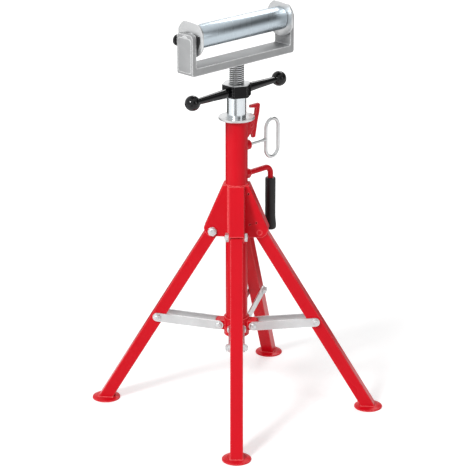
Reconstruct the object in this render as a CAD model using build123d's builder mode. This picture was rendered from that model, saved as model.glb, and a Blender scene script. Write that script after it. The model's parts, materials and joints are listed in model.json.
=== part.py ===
from build123d import *
import os
from math import sin, cos, radians, sqrt, tan

# Folding pipe stand with a roller head. Millimetres, Z up, origin on the floor
# under the post axis. An azimuth is measured from -Y towards +X, and rho is the
# distance from the post axis.

os.makedirs("parts", exist_ok=True)

# arms: azimuth of each leg, and half the angle to the neighbour on either side
ARMS = {"front": 0.0, "right": 85.0, "rear": 165.0, "left": 265.0}
SECTOR = {"front": (47.5, 42.5), "right": (42.5, 40.0), "rear": (40.0, 50.0), "left": (50.0, 47.5)}
SECTOR_GAP = 0.15

# clearances
RUN = 0.1
BORE_RUN = 0.05
REST_GAP = 0.2
SLIDE_GAP = 0.5
EDGE = 1.0

# telescoping post
POST_OD, POST_WALL = 44.0, 2.5
POST_ID = POST_OD - 2 * POST_WALL
POST_Z0, POST_L = 155.0, 450.0
POST_Z1 = POST_Z0 + POST_L
POST_R = POST_OD / 2
LIFT_OD = POST_ID - 2 * SLIDE_GAP
LIFT_WALL = 3.0
LIFT_ID = LIFT_OD - 2 * LIFT_WALL
LIFT_SHOWN = 41.8
FLANGE_PROUD, FLANGE_T = 13.5, 5.0
FLANGE_D = POST_OD + 2 * FLANGE_PROUD
FLANGE_Z = POST_Z1 + REST_GAP
LIFT_Z1 = FLANGE_Z + FLANGE_T + LIFT_SHOWN
LIFT_Z0 = POST_Z0 + 35.0
PIN_PITCH, PIN_HOLES = 40.0, 9

# side fittings on the post
FIT_AZ = 135.0
PIN_Z, CLAMP_Z = POST_Z1 - 60.0, POST_Z1 - 119.0
PIN_D, CLAMP_D = 7.0, 11.0
PIN_TIP = POST_ID / 2 + 1.0
PIN_HOLE_GAP = 0.75
BOSS_D, BOSS_L = 20.0, 12.0
NUT_W, NUT_L = 18.0, 11.0
LOOP_RHO, LOOP_W, LOOP_H = POST_R + 60.0, 35.0, 78.5
LOOP_R = LOOP_W / 2 - 0.1
GRIP_RHO, GRIP_DROP, GRIP_L, GRIP_D = POST_R + 74.0, 24.0, 109.0, 21.0
GRIP_Z1 = CLAMP_Z - GRIP_DROP
GRIP_Z0 = GRIP_Z1 - GRIP_L
ROD_DEPTH, ROD_BEND = 32.0, 15.0
BULB, BULB_H = 1.3, 20.0
HOOK_RHO, HOOK_Z = POST_R + 14.5, POST_Z1 - 20.0
HOOK_T, HOOK_PIN_D, LUG_GAP, LUG_T, LUG_BASE = 5.0, 5.0, 0.3, 3.0, 2.5

# legs and their hinges
LEG_W, LEG_WALL, LEG_ROUND = 25.0, 2.0, 1.5
LEAN = 31.0
HINGE_RHO, HINGE_Z = POST_R + 25.0, POST_Z1 - 230.0
HINGE_D, WASHER_D, WASHER_T, HEX_W, HEAD_H, NUT_H = 10.0, 18.0, 1.5, 16.0, 5.5, 7.0
EAR_IN, EAR_T = LEG_W / 2 + 0.5, 2.5
EAR_OUT = EAR_IN + EAR_T
BRACKET_UP, BRACKET_DOWN, BRACKET_OUT = 97.0, 10.5, 17.5
FOOT_D, FOOT_T, FOOT_RIM, FOOT_CROWN = 57.0, 5.0, 2.4, 40.0

# sliding collar and links
COLLAR_ID, COLLAR_WALL, COLLAR_H = POST_OD + 2 * SLIDE_GAP, 3.0, 30.0
COLLAR_OD = COLLAR_ID + 2 * COLLAR_WALL
RING_H, RING_LIP = 5.0, 3.0
COLLAR_Z0 = POST_Z0 + RING_H
STRAP_W, STRAP_T, STRAP_IN = 18.0, 3.0, LEG_W / 2 + 0.4
STRAP_OUT = STRAP_IN + STRAP_T
EYE_RHO, EYE_Z = COLLAR_OD / 2 + 9.5, COLLAR_Z0 + 14.0
LINK_DOWN = 188.0
LINK_RHO, LINK_Z = HINGE_RHO + LINK_DOWN * tan(radians(LEAN)), HINGE_Z - LINK_DOWN
LINK_PIN_D, STUD_WASHER_D, STUD_WASHER_T, STUD_W, STUD_H = 8.0, 16.0, 1.4, 13.0, 5.0
EYE_HEAD_D, EYE_HEAD_H = 13.0, 3.2

# screw and hand hub
SCREW_D = LIFT_ID - 2.0
HUB_CORNERS, HUB_H, HUB_BEVEL = 60.0, 25.0, 2.0
HUB_Z0 = LIFT_Z1 + REST_GAP
HUB_Z1 = HUB_Z0 + HUB_H
HAND_AZ, HAND_ROOT_D, HAND_TIP_D = 136.5, 14.0, 12.5
HAND_Z = HUB_Z0 + 9.4
HAND_ROOT = SCREW_D / 2 + 7.0
BALL_RHO, BALL_D, BALL_SOCKET = 122.0, 30.0, 8.0
SCREW_SHOWN, SCREW_BELOW = 40.8, 72.2
SCREW_Z0 = HUB_Z0 - SCREW_BELOW

# roller head, worked out from the roller outwards
HEAD_AZ = 134.0
ROLL_HALF, ROLL_OD, ROLL_WALL = 116.5, 46.0, 3.0
ROLL_ID = ROLL_OD - 2 * ROLL_WALL
GUARD_D, GUARD_T, GUARD_GAP = 78.0, 4.0, 1.0
GUARD_FLAT, GUARD_TOP_W = 34.5, 46.0
GUARD_X = ROLL_HALF + GUARD_GAP
SPACER_D, SPACER_L = 22.0, 4.5
UPRIGHT_T, BAR_T, HEAD_W = 10.0, 15.0, 43.0
HEAD_IN = GUARD_X + GUARD_T + SPACER_L
HEAD_OUT = HEAD_IN + UPRIGHT_T
HEAD_Z0 = HUB_Z1 + SCREW_SHOWN
ROLL_Z = HEAD_Z0 + 69.0
HEAD_Z1 = ROLL_Z + 11.0
AXLE_D = 15.0
BEARING_OD, BEARING_W, BEARING_INSET = 35.0, 11.0, 1.5
LIP = 3.0


def out(az):
    a = radians(az)
    return Vector(sin(a), -cos(a), 0)


def arm_plane(az, shift=0.0):
    # sketch x runs outward from the post axis, sketch y is height
    a = radians(az)
    return Plane(origin=(0, 0, 0), x_dir=(sin(a), -cos(a), 0), z_dir=(-cos(a), -sin(a), 0)).offset(shift)


def face_plane(az, rho, z):
    # faces outward at that azimuth, sketch y is height
    a = radians(az)
    o = out(az) * rho
    return Plane(origin=(o.X, o.Y, z), x_dir=(cos(a), sin(a), 0), z_dir=(sin(a), -cos(a), 0))


def save(builder, name):
    builder.part.label = name
    export_step(builder.part, f"parts/{name}.step")


# fixed post
with BuildPart() as outer_post:
    with BuildSketch(Plane.XY.offset(POST_Z0)):
        Circle(POST_R)
        Circle(POST_ID / 2, mode=Mode.SUBTRACT)
    extrude(amount=POST_L)
    with BuildSketch(face_plane(FIT_AZ, POST_R / 2, PIN_Z)):
        Circle(PIN_D / 2 + RUN)
    extrude(amount=POST_R, mode=Mode.SUBTRACT)
    with BuildSketch(face_plane(FIT_AZ, POST_R / 2, CLAMP_Z)):
        Circle(CLAMP_D / 2 + RUN)
    extrude(amount=POST_R, mode=Mode.SUBTRACT)
save(outer_post, "outer_post")

with BuildPart() as post_stop_ring:
    with BuildSketch(Plane.XY.offset(POST_Z0 - RING_LIP)):
        Circle(COLLAR_OD / 2)
        Circle(POST_R, mode=Mode.SUBTRACT)
    extrude(amount=RING_H + RING_LIP - REST_GAP)
    chamfer(post_stop_ring.edges().filter_by(GeomType.CIRCLE).group_by(Axis.Z)[0]
            .sort_by(SortBy.LENGTH)[-1], EDGE)
save(post_stop_ring, "post_stop_ring")

with BuildPart() as pin_boss:
    with BuildSketch(face_plane(FIT_AZ, POST_R / 2, PIN_Z)):
        Circle(BOSS_D / 2)
        Circle(PIN_D / 2 + RUN, mode=Mode.SUBTRACT)
    extrude(amount=POST_R / 2 + BOSS_L)
    with BuildSketch(Plane.XY.offset(PIN_Z - BOSS_D)):
        Circle(POST_R)
    extrude(amount=2 * BOSS_D, mode=Mode.SUBTRACT)
    outer_end = pin_boss.faces().filter_by(GeomType.PLANE).sort_by(Axis((0, 0, 0), out(FIT_AZ)))[-1]
    chamfer(outer_end.edges().sort_by(SortBy.LENGTH)[-1], EDGE)
save(pin_boss, "pin_boss")

with BuildPart() as clamp_nut:
    with BuildSketch(face_plane(FIT_AZ, POST_R / 2, CLAMP_Z)):
        RegularPolygon(NUT_W / 2, 6, major_radius=False)
        Circle(CLAMP_D / 2 + RUN, mode=Mode.SUBTRACT)
    extrude(amount=POST_R / 2 + NUT_L)
    with BuildSketch(Plane.XY.offset(CLAMP_Z - NUT_W)):
        Circle(POST_R)
    extrude(amount=2 * NUT_W, mode=Mode.SUBTRACT)
save(clamp_nut, "clamp_nut")

LUG_IN = HOOK_T / 2 + LUG_GAP
LUG_OUT = LUG_IN + LUG_T
with BuildPart() as hook_lugs:
    with BuildSketch(arm_plane(FIT_AZ, -LUG_OUT)):
        Polygon((POST_R / 2, HOOK_Z - 10), (HOOK_RHO, HOOK_Z - 6), (HOOK_RHO, HOOK_Z + 6), (POST_R / 2, HOOK_Z + 10),
                align=None)
        with Locations((HOOK_RHO, HOOK_Z)):
            Circle(6)
            Circle(HOOK_PIN_D / 2, mode=Mode.SUBTRACT)
    extrude(amount=2 * LUG_OUT)
    with BuildSketch(arm_plane(FIT_AZ, -LUG_IN)):
        with Locations((POST_R + LUG_BASE, HOOK_Z)):
            Rectangle(2 * BOSS_D, 2 * BOSS_D, align=(Align.MIN, Align.CENTER))
    extrude(amount=2 * LUG_IN, mode=Mode.SUBTRACT)
    with BuildSketch(Plane.XY.offset(HOOK_Z - 30)):
        Circle(POST_R)
    extrude(amount=60, mode=Mode.SUBTRACT)
save(hook_lugs, "hook_lugs")

with BuildPart() as hook_pin:
    with BuildSketch(arm_plane(FIT_AZ, -LUG_OUT)):
        with Locations((HOOK_RHO, HOOK_Z)):
            Circle(HOOK_PIN_D / 2)
    extrude(amount=2 * LUG_OUT)
    for side in (-1, 1):
        with BuildSketch(arm_plane(FIT_AZ, side * LUG_OUT)):
            with Locations((HOOK_RHO, HOOK_Z)):
                Circle(HOOK_PIN_D / 2 + 1.2)
        extrude(amount=side * 1.2)
save(hook_pin, "hook_pin")


# leg hinges: pressed channel welded to the post, mitred against its neighbours
def leg_bracket(arm, az):
    top, low = HINGE_Z + BRACKET_UP, HINGE_Z - BRACKET_DOWN
    tip_rho, tip_z = HINGE_RHO + BRACKET_OUT, HINGE_Z + 6
    head_rho = POST_R + 4
    slope = (tip_z - top) / (tip_rho - head_rho)
    inset = EAR_T * sqrt(1 + slope * slope) / -slope
    with BuildPart() as bracket:
        with BuildSketch(arm_plane(az)):
            Polygon((POST_R / 2, top), (head_rho, top), (tip_rho, tip_z), (tip_rho - 4, HINGE_Z - 4),
                    (tip_rho - 11.5, low), (POST_R / 2, low), align=None)
        extrude(amount=EAR_OUT, both=True)
        along = Vector(out(az).X * (tip_rho - head_rho), out(az).Y * (tip_rho - head_rho), tip_z - top)
        fillet(bracket.edges().filter_by(Axis(origin=(0, 0, 0), direction=along)), EAR_T)
        with BuildSketch(arm_plane(az)):
            Polygon((0, top - EAR_T), (head_rho - inset - EAR_T / slope, top - EAR_T),
                    (tip_rho - inset, tip_z), (tip_rho + EAR_T, tip_z - EAR_T), (tip_rho + EAR_T, low - EDGE),
                    (0, low - EDGE), align=None)
        extrude(amount=EAR_IN, both=True, mode=Mode.SUBTRACT)
        with BuildSketch(arm_plane(az)):
            with Locations((HINGE_RHO, HINGE_Z)):
                Circle(HINGE_D / 2 + RUN)
        extrude(amount=EAR_OUT + 1, both=True, mode=Mode.SUBTRACT)
        if arm == "right":
            with BuildSketch(arm_plane(az, EAR_IN - 1)):
                with Locations((POST_R + 3, HINGE_Z + 80), (POST_R + 5.5, HINGE_Z + 16),
                               (POST_R + 18.5, HINGE_Z + 20)):
                    Circle(2)
            extrude(amount=EAR_T + 2, mode=Mode.SUBTRACT)
        with BuildSketch(Plane.XY.offset(low - 10)):
            Circle(POST_R)
        extrude(amount=top - low + 20, mode=Mode.SUBTRACT)
        lo, hi = SECTOR[arm]
        reach = 3 * tip_rho
        a, b, c = out(az - lo + SECTOR_GAP) * reach, out(az + hi - SECTOR_GAP) * reach, out(az) * 1.2 * reach
        with BuildSketch(Plane.XY.offset(low - 10)):
            Polygon((0, 0), (a.X, a.Y), (c.X, c.Y), (b.X, b.Y), align=None)
        extrude(amount=top - low + 20, mode=Mode.INTERSECT)
    save(bracket, f"upper_bracket_{arm}")


def hinge_bolt(arm, az):
    with BuildPart() as bolt:
        with BuildSketch(arm_plane(az, -EAR_OUT)):
            with Locations((HINGE_RHO, HINGE_Z)):
                Circle(HINGE_D / 2)
        extrude(amount=2 * EAR_OUT)
        for side, height in ((1, HEAD_H), (-1, NUT_H)):
            with BuildSketch(arm_plane(az, side * EAR_OUT)):
                with Locations((HINGE_RHO, HINGE_Z)):
                    Circle(WASHER_D / 2)
            extrude(amount=side * WASHER_T)
            with BuildSketch(arm_plane(az, side * (EAR_OUT + WASHER_T))):
                with Locations((HINGE_RHO, HINGE_Z)):
                    RegularPolygon(HEX_W / 2, 6, major_radius=False, rotation=15)
            extrude(amount=side * height)
    save(bolt, f"hinge_bolt_{arm}")


# legs: square tube with a rounded top end and a level cut on the foot plate
def leg(arm, az):
    s, c = sin(radians(LEAN)), cos(radians(LEAN))

    def down(offset, z):
        # point on the line at that offset outside the leg axis, at height z
        r0, z0 = HINGE_RHO + offset * c, HINGE_Z + offset * s
        return (r0 + (z0 - z) * s / c, z)

    h = LEG_W / 2
    q = h - LEG_WALL
    with BuildPart() as tube:
        with BuildSketch(arm_plane(az)):
            Polygon((HINGE_RHO - h * c, HINGE_Z - h * s), (HINGE_RHO + h * c, HINGE_Z + h * s),
                    down(h, FOOT_T), down(-h, FOOT_T), align=None)
            with Locations((HINGE_RHO, HINGE_Z)):
                Circle(h)
        extrude(amount=h, both=True)
        along = Vector(out(az).X * s, out(az).Y * s, -c)
        fillet(tube.edges().filter_by(Axis(origin=(0, 0, 0), direction=along)), LEG_ROUND)
        with BuildSketch(arm_plane(az)):
            Polygon((HINGE_RHO - q * c - h * 2 * s, HINGE_Z - q * s + h * 2 * c),
                    (HINGE_RHO + q * c - h * 2 * s, HINGE_Z + q * s + h * 2 * c),
                    down(q, 0), down(-q, 0), align=None)
        extrude(amount=q, both=True, mode=Mode.SUBTRACT)
        with BuildSketch(arm_plane(az)):
            with Locations((HINGE_RHO, HINGE_Z)):
                Circle(HINGE_D / 2 + RUN)
            with Locations((LINK_RHO, LINK_Z)):
                Circle(LINK_PIN_D / 2 + RUN)
        extrude(amount=h + 2, both=True, mode=Mode.SUBTRACT)
    save(tube, f"leg_{arm}")


def foot(arm, az):
    o = out(az) * (HINGE_RHO + (HINGE_Z - FOOT_T) * tan(radians(LEAN)))
    with BuildPart() as disc:
        with BuildSketch(Plane(origin=(o.X, o.Y, 0), x_dir=(1, 0, 0), z_dir=(0, -1, 0))):
            Polygon((0, 0), (FOOT_D / 2, 0), (FOOT_D / 2, FOOT_RIM), (FOOT_CROWN / 2, FOOT_T), (0, FOOT_T),
                    align=None)
        revolve(axis=Axis((o.X, o.Y, 0), (0, 0, 1)))
        fillet(disc.edges().filter_by(GeomType.CIRCLE).group_by(Axis.Z)[1], FOOT_RIM / 2)
    save(disc, f"foot_{arm}")


# links: a pair of straps from the leg to the collar eye, with a stud at the leg end
def link(arm, az):
    dx, dz = LINK_RHO - EYE_RHO, LINK_Z - EYE_Z
    n = sqrt(dx * dx + dz * dz)
    px, pz = -dz / n * STRAP_W / 2, dx / n * STRAP_W / 2
    with BuildPart() as straps:
        for side in (-1, 1):
            with BuildSketch(arm_plane(az, side * STRAP_IN)):
                Polygon((EYE_RHO + px, EYE_Z + pz), (EYE_RHO - px, EYE_Z - pz),
                        (LINK_RHO - px, LINK_Z - pz), (LINK_RHO + px, LINK_Z + pz), align=None)
                with Locations((EYE_RHO, EYE_Z), (LINK_RHO, LINK_Z)):
                    Circle(STRAP_W / 2)
                with Locations((EYE_RHO, EYE_Z)):
                    Circle(LINK_PIN_D / 2 + RUN, mode=Mode.SUBTRACT)
                with Locations((LINK_RHO, LINK_Z)):
                    Circle(LINK_PIN_D / 2, mode=Mode.SUBTRACT)
            extrude(amount=side * STRAP_T)
    save(straps, f"link_straps_{arm}")

    with BuildPart() as studs:
        for side in (-1, 1):
            with BuildSketch(arm_plane(az, side * STRAP_IN)):
                with Locations((LINK_RHO, LINK_Z)):
                    Circle(LINK_PIN_D / 2)
            extrude(amount=side * STRAP_T)
            with BuildSketch(arm_plane(az, side * STRAP_OUT)):
                with Locations((LINK_RHO, LINK_Z)):
                    Circle(STUD_WASHER_D / 2)
            extrude(amount=side * STUD_WASHER_T)
            with BuildSketch(arm_plane(az, side * (STRAP_OUT + STUD_WASHER_T))):
                with Locations((LINK_RHO, LINK_Z)):
                    RegularPolygon(STUD_W / 2, 6, major_radius=False, rotation=10)
            extrude(amount=side * STUD_H)
    save(studs, f"link_studs_{arm}")

    reach = STRAP_OUT + RUN
    with BuildPart() as pin:
        with BuildSketch(arm_plane(az, -reach)):
            with Locations((EYE_RHO, EYE_Z)):
                Circle(LINK_PIN_D / 2)
        extrude(amount=2 * reach)
        for side in (-1, 1):
            with BuildSketch(arm_plane(az, side * reach)):
                with Locations((EYE_RHO, EYE_Z)):
                    Circle(EYE_HEAD_D / 2)
            extrude(amount=side * EYE_HEAD_H)
        chamfer(pin.edges().filter_by(GeomType.CIRCLE).sort_by(arm_axis(az))[:1], EDGE)
        chamfer(pin.edges().filter_by(GeomType.CIRCLE).sort_by(arm_axis(az))[-1:], EDGE)
    save(pin, f"collar_pin_{arm}")


def arm_axis(az):
    # level line across an arm, along its hinge
    a = radians(az)
    return Axis((0, 0, 0), (cos(a), sin(a), 0))


for arm, az in ARMS.items():
    leg_bracket(arm, az)
    hinge_bolt(arm, az)
    leg(arm, az)
    foot(arm, az)
    link(arm, az)

# sliding collar with an eye for each link
with BuildPart() as collar:
    with BuildSketch(Plane.XY.offset(COLLAR_Z0)):
        Circle(COLLAR_OD / 2)
    extrude(amount=COLLAR_H)
    for az in ARMS.values():
        with BuildSketch(arm_plane(az)):
            half = STRAP_W / 2
            Polygon((POST_R / 2, EYE_Z - half - 2), (EYE_RHO, EYE_Z - half), (EYE_RHO, EYE_Z + half),
                    (POST_R / 2, EYE_Z + half + 2), align=None)
            with Locations((EYE_RHO, EYE_Z)):
                Circle(half)
        extrude(amount=LEG_W / 2, both=True)
    for az in ARMS.values():
        with BuildSketch(arm_plane(az)):
            with Locations((EYE_RHO, EYE_Z)):
                Circle(LINK_PIN_D / 2 + RUN)
        extrude(amount=LEG_W, both=True, mode=Mode.SUBTRACT)
    with BuildSketch(Plane.XY.offset(COLLAR_Z0 - 5)):
        Circle(COLLAR_ID / 2)
    extrude(amount=COLLAR_H + 10, mode=Mode.SUBTRACT)
save(collar, "collar")

# telescoping inner post
with BuildPart() as inner_post:
    with BuildSketch(Plane.XY.offset(LIFT_Z0)):
        Circle(LIFT_OD / 2)
        Circle(LIFT_ID / 2, mode=Mode.SUBTRACT)
    extrude(amount=LIFT_Z1 - LIFT_Z0)
    for i in range(PIN_HOLES):
        with BuildSketch(face_plane(FIT_AZ, LIFT_ID / 4, PIN_Z - i * PIN_PITCH)):
            Circle(PIN_D / 2 + PIN_HOLE_GAP)
        extrude(amount=LIFT_OD / 2, mode=Mode.SUBTRACT)
save(inner_post, "inner_post")

with BuildPart() as stop_flange:
    with BuildSketch(Plane.XY.offset(FLANGE_Z)):
        Circle(FLANGE_D / 2)
        Circle(LIFT_OD / 2, mode=Mode.SUBTRACT)
    extrude(amount=FLANGE_T)
    chamfer(stop_flange.edges().filter_by(GeomType.CIRCLE).sort_by(SortBy.LENGTH)[-2:], EDGE)
save(stop_flange, "stop_flange")

# hand hub: a hexagonal nut block with two ball-ended arms
with BuildPart() as hand_hub:
    with BuildSketch(Plane.XY.offset(HUB_Z0)):
        RegularPolygon(HUB_CORNERS / 2, 6, rotation=HAND_AZ - 90 + 30)
    extrude(amount=HUB_H)
    with BuildSketch(Plane.XY.offset(HUB_Z0)):
        Circle(HUB_CORNERS / 2 - HUB_BEVEL / 2)
    extrude(amount=HUB_H, mode=Mode.INTERSECT)
    chamfer(hand_hub.faces().sort_by(Axis.Z)[-1].edges(), HUB_BEVEL / 2)
    with BuildSketch(Plane.XY.offset(HUB_Z0)):
        Circle(SCREW_D / 2 + BORE_RUN)
    extrude(amount=HUB_H, mode=Mode.SUBTRACT)
    for az in (HAND_AZ, HAND_AZ + 180):
        with BuildSketch(face_plane(az, HAND_ROOT, HAND_Z)):
            Circle(HAND_ROOT_D / 2)
        extrude(amount=HUB_CORNERS / 2, mode=Mode.SUBTRACT)
save(hand_hub, "hand_hub")

for tag, az in (("rear", HAND_AZ), ("front", HAND_AZ + 180)):
    root_r, tip_r = HAND_ROOT_D / 2, HAND_TIP_D / 2
    with BuildPart() as hand_arm:
        with BuildSketch(arm_plane(az)):
            Polygon((HAND_ROOT, HAND_Z), (HAND_ROOT, HAND_Z + root_r), (HUB_CORNERS / 2, HAND_Z + root_r),
                    (BALL_RHO - BALL_D / 2, HAND_Z + tip_r), (BALL_RHO - BALL_D / 2 + BALL_SOCKET, HAND_Z + tip_r),
                    (BALL_RHO - BALL_D / 2 + BALL_SOCKET, HAND_Z), align=None)
        revolve(axis=Axis((0, 0, HAND_Z), out(az)))
    save(hand_arm, f"hand_arm_{tag}")

    with BuildPart() as hand_ball:
        centre = out(az) * BALL_RHO
        with Locations((centre.X, centre.Y, HAND_Z)):
            Sphere(BALL_D / 2)
        with BuildSketch(face_plane(az, BALL_RHO - BALL_D, HAND_Z)):
            Circle(tip_r)
        extrude(amount=BALL_D / 2 + BALL_SOCKET, mode=Mode.SUBTRACT)
    save(hand_ball, f"hand_ball_{tag}")

# jack screw, rising with the roller head
with BuildPart() as jack_screw:
    with BuildSketch(Plane.XY.offset(SCREW_Z0)):
        Circle(SCREW_D / 2)
    extrude(amount=HEAD_Z0 + BAR_T - SCREW_Z0)
    chamfer(jack_screw.edges().filter_by(GeomType.CIRCLE).sort_by(Axis.Z)[0:1], 2 * EDGE)
save(jack_screw, "jack_screw")

with BuildPart() as head_frame:
    with BuildSketch(arm_plane(HEAD_AZ)):
        with Locations((0, (HEAD_Z0 + HEAD_Z1) / 2)):
            Rectangle(2 * HEAD_OUT, HEAD_Z1 - HEAD_Z0)
        with Locations((0, HEAD_Z0 + BAR_T + ROLL_OD)):
            Rectangle(2 * HEAD_IN, 2 * ROLL_OD, mode=Mode.SUBTRACT)
    extrude(amount=HEAD_W / 2, both=True)
    corners = head_frame.edges().filter_by(arm_axis(HEAD_AZ))
    fillet([e for e in corners if abs(e.center().Z - HEAD_Z0) < 0.01], UPRIGHT_T / 2)
    corners = head_frame.edges().filter_by(arm_axis(HEAD_AZ))
    fillet([e for e in corners if abs(e.center().Z - HEAD_Z0 - BAR_T) < 0.01], 3)
    top_ends = [e for e in head_frame.edges().filter_by(Axis((0, 0, 0), out(HEAD_AZ)))
                if abs(e.center().Z - HEAD_Z1) < 0.01]
    fillet(top_ends, HEAD_W / 6)
    with BuildSketch(face_plane(HEAD_AZ, -HEAD_OUT - 5, ROLL_Z)):
        Circle(AXLE_D / 2)
    extrude(amount=2 * HEAD_OUT + 10, mode=Mode.SUBTRACT)
    with BuildSketch(Plane.XY.offset(HEAD_Z0 - 1)):
        Circle(SCREW_D / 2)
    extrude(amount=BAR_T + 2, mode=Mode.SUBTRACT)
save(head_frame, "head_frame")

with BuildPart() as axle:
    with BuildSketch(face_plane(HEAD_AZ, -HEAD_OUT, ROLL_Z)):
        Circle(AXLE_D / 2)
    extrude(amount=2 * HEAD_OUT)
save(axle, "axle")

with BuildPart() as roller_tube:
    with BuildSketch(face_plane(HEAD_AZ, -ROLL_HALF, ROLL_Z)):
        Circle(ROLL_OD / 2)
        Circle(ROLL_ID / 2, mode=Mode.SUBTRACT)
    extrude(amount=2 * ROLL_HALF)
    chamfer(roller_tube.edges().filter_by(GeomType.CIRCLE).sort_by(SortBy.LENGTH)[-2:], EDGE)
save(roller_tube, "roller_tube")

for tag, side in (("rear", 1), ("front", -1)):
    with BuildPart() as guard:
        # round plate with a broad flat top that keeps the pipe on the roller
        with BuildSketch(face_plane(HEAD_AZ, side * GUARD_X, ROLL_Z)):
            Circle(GUARD_D / 2)
            Polygon((-GUARD_TOP_W / 2, GUARD_FLAT), (GUARD_TOP_W / 2, GUARD_FLAT), (GUARD_D * 0.46, GUARD_D / 6),
                    (-GUARD_D * 0.46, GUARD_D / 6), align=None)
            Circle(AXLE_D / 2, mode=Mode.SUBTRACT)
            with Locations((0, GUARD_FLAT + GUARD_D / 2)):
                Rectangle(GUARD_D, GUARD_D, mode=Mode.SUBTRACT)
        extrude(amount=side * GUARD_T)
    save(guard, f"guard_disc_{tag}")

    with BuildPart() as spacer:
        with BuildSketch(face_plane(HEAD_AZ, side * (GUARD_X + GUARD_T), ROLL_Z)):
            Circle(SPACER_D / 2)
            Circle(AXLE_D / 2, mode=Mode.SUBTRACT)
        extrude(amount=side * SPACER_L)
    save(spacer, f"spacer_{tag}")

    shoulder = ROLL_HALF - BEARING_INSET - BEARING_W
    with BuildPart() as roller_hub:
        with BuildSketch(face_plane(HEAD_AZ, side * shoulder, ROLL_Z)):
            Circle(ROLL_ID / 2)
            Circle(BEARING_OD / 2, mode=Mode.SUBTRACT)
        extrude(amount=side * (BEARING_W + BEARING_INSET / 2))
        with BuildSketch(face_plane(HEAD_AZ, side * shoulder, ROLL_Z)):
            Circle(ROLL_ID / 2)
            Circle(BEARING_OD / 2 - LIP, mode=Mode.SUBTRACT)
        extrude(amount=-side * LIP)
    save(roller_hub, f"roller_hub_{tag}")

    with BuildPart() as bearing:
        with BuildSketch(face_plane(HEAD_AZ, side * shoulder, ROLL_Z)):
            Circle(BEARING_OD / 2)
            Circle(AXLE_D / 2 + BORE_RUN, mode=Mode.SUBTRACT)
        extrude(amount=side * BEARING_W)
    save(bearing, f"bearing_{tag}")

# lock pin: one bent rod with a closed hand loop
with BuildPart() as lock_pin:
    with BuildSketch(face_plane(FIT_AZ, PIN_TIP, PIN_Z)):
        Circle(PIN_D / 2)
    extrude(amount=LOOP_RHO - PIN_TIP)
    start = out(FIT_AZ) * LOOP_RHO
    for side in (-1, 1):
        with BuildLine(arm_plane(FIT_AZ)) as half:
            FilletPolyline((LOOP_RHO, PIN_Z), (LOOP_RHO, PIN_Z + side * LOOP_H / 2),
                           (LOOP_RHO + LOOP_W, PIN_Z + side * LOOP_H / 2), (LOOP_RHO + LOOP_W, PIN_Z),
                           radius=LOOP_R)
        with BuildSketch(Plane(origin=(start.X, start.Y, PIN_Z), z_dir=(0, 0, side))):
            Circle(PIN_D / 2)
        sweep(path=half.wires()[0])
    chamfer(lock_pin.edges().filter_by(GeomType.CIRCLE).sort_by(Axis((0, 0, 0), out(FIT_AZ)))[0:1], EDGE)
save(lock_pin, "lock_pin")

# clamp handle: threaded rod bent down into a soft grip
with BuildPart() as clamp_rod:
    with BuildLine(arm_plane(FIT_AZ)) as bend:
        FilletPolyline((PIN_TIP, CLAMP_Z), (GRIP_RHO, CLAMP_Z), (GRIP_RHO, GRIP_Z1 - ROD_DEPTH), radius=ROD_BEND)
    with BuildSketch(face_plane(FIT_AZ, PIN_TIP, CLAMP_Z)):
        Circle(CLAMP_D / 2)
    sweep(path=bend.wires()[0])
save(clamp_rod, "clamp_rod")

with BuildPart() as clamp_grip:
    r, b, g = GRIP_D / 2, CLAMP_D / 2, GRIP_RHO
    bulb = r + BULB
    with BuildSketch(arm_plane(FIT_AZ)):
        Polygon((g + b, GRIP_Z1), (g + r - EDGE, GRIP_Z1), (g + r, GRIP_Z1 - 2), (g + r, GRIP_Z0 + BULB_H),
                (g + bulb, GRIP_Z0 + BULB_H - 7), (g + bulb, GRIP_Z0 + 4), (g + bulb - 3, GRIP_Z0), (g, GRIP_Z0),
                (g, GRIP_Z1 - ROD_DEPTH), (g + b, GRIP_Z1 - ROD_DEPTH), align=None)
    grip_axis = out(FIT_AZ) * GRIP_RHO
    revolve(axis=Axis((grip_axis.X, grip_axis.Y, 0), (0, 0, 1)))
save(clamp_grip, "clamp_grip")

# swinging hook that catches the stop flange, with a tail for the thumb
with BuildPart() as hook_latch:
    tip_rho, tip_z = FLANGE_D / 2 + 0.8, FLANGE_Z + FLANGE_T + 9.5
    with BuildSketch(arm_plane(FIT_AZ)):
        Polygon((tip_rho, tip_z), (tip_rho + 1, tip_z + 5), (tip_rho + 24, tip_z + 5), (tip_rho + 27, tip_z + 2),
                (HOOK_RHO + 24.5, HOOK_Z + 21), (HOOK_RHO + 20, HOOK_Z + 5), (HOOK_RHO + 13.5, HOOK_Z - 28),
                (HOOK_RHO + 6.5, HOOK_Z - 28), (HOOK_RHO + 3, HOOK_Z - 16), (HOOK_RHO - 8.5, HOOK_Z - 9),
                (HOOK_RHO - 8.5, HOOK_Z + 12), (HOOK_RHO + 3, HOOK_Z + 16), (HOOK_RHO + 14, FLANGE_Z - 1),
                (tip_rho + 16, tip_z - 3), align=None)
        with Locations((HOOK_RHO, HOOK_Z)):
            Circle(HOOK_PIN_D / 2 + RUN, mode=Mode.SUBTRACT)
    extrude(amount=HOOK_T / 2, both=True)
save(hook_latch, "hook_latch")
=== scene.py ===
import bmesh
import bpy
import json
from math import atan2, cos, pi, radians, sin, sqrt, tan
from mathutils import Matrix, Vector


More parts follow.
